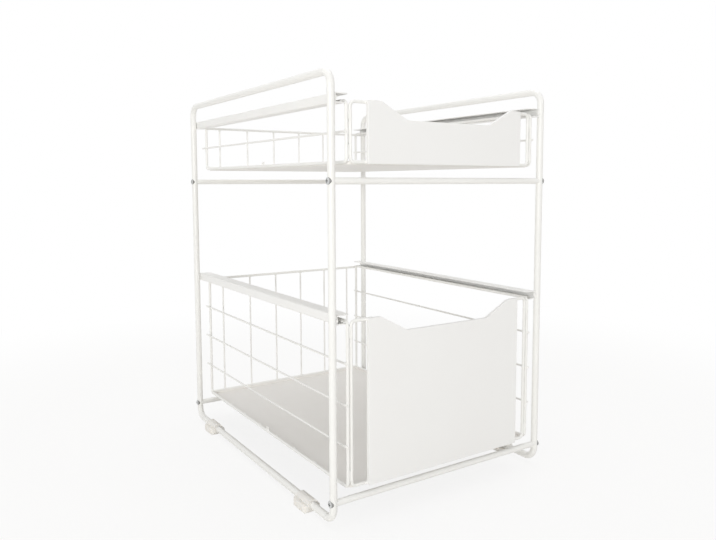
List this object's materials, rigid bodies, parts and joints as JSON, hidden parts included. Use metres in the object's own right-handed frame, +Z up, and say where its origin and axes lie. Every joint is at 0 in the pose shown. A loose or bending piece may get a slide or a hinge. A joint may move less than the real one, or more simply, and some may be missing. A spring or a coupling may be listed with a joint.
{
  "type": "pull out cabinet basket",
  "caption": "Two-tier pull out cabinet basket: upright white rod frame with slide rails and wire baskets that draw out to the front, each with a scooped front plate and a sheet tray.",
  "frame": {"origin": "middle of the overall box at the underside of the feet", "axes": "+Z up, front of the baskets towards -Y, +X to the right as seen from the front"},
  "size_m": [0.314, 0.4032, 0.4662],
  "materials": {
    "frame_coating": "satin white powder coat on steel rod",
    "wire_coating": "satin white powder coat on steel wire",
    "rail_coating": "satin white powder coat on folded steel strip",
    "plate_coating": "smooth white powder coat on pressed steel sheet",
    "tray_coating": "smooth white powder coat on steel sheet",
    "screw_steel": "zinc plated, dull silver grey",
    "foot_plastic": "milky white moulded plastic"
  },
  "bodies": {
    "frame": {"left_side_frame": "frame_coating", "right_side_frame": "frame_coating", "front_middle_bar": "frame_coating", "back_middle_bar": "frame_coating", "front_lower_bar": "frame_coating", "back_lower_bar": "frame_coating", "left_bar_screws": "screw_steel", "right_bar_screws": "screw_steel", "front_left_foot": "foot_plastic", "front_right_foot": "foot_plastic", "back_left_foot": "foot_plastic", "back_right_foot": "foot_plastic", "upper_left_rail": "rail_coating", "upper_right_rail": "rail_coating", "lower_left_rail": "rail_coating", "lower_right_rail": "rail_coating", "left_rail_rivets": "rail_coating", "right_rail_rivets": "rail_coating"},
    "upper_basket": {"upper_left_side": "wire_coating", "upper_right_side": "wire_coating", "upper_left_runner": "wire_coating", "upper_right_runner": "wire_coating", "upper_left_corner": "wire_coating", "upper_right_corner": "wire_coating", "upper_left_ties": "wire_coating", "upper_right_ties": "wire_coating", "upper_front_plate": "plate_coating", "upper_back": "wire_coating", "upper_tray": "tray_coating"},
    "lower_basket": {"lower_left_side": "wire_coating", "lower_right_side": "wire_coating", "lower_left_runner": "wire_coating", "lower_right_runner": "wire_coating", "lower_left_corner": "wire_coating", "lower_right_corner": "wire_coating", "lower_left_ties": "wire_coating", "lower_right_ties": "wire_coating", "lower_front_plate": "plate_coating", "lower_back": "wire_coating", "lower_tray": "tray_coating"}
  },
  "joints": [
    {"name": "upper_basket_slide", "type": "slide", "parent": "frame", "child": "upper_basket", "axis": [0, -1, 0], "range_m": [0, 0.25]},
    {"name": "lower_basket_slide", "type": "slide", "parent": "frame", "child": "lower_basket", "axis": [0, -1, 0], "range_m": [0, 0.25]}
  ]
}
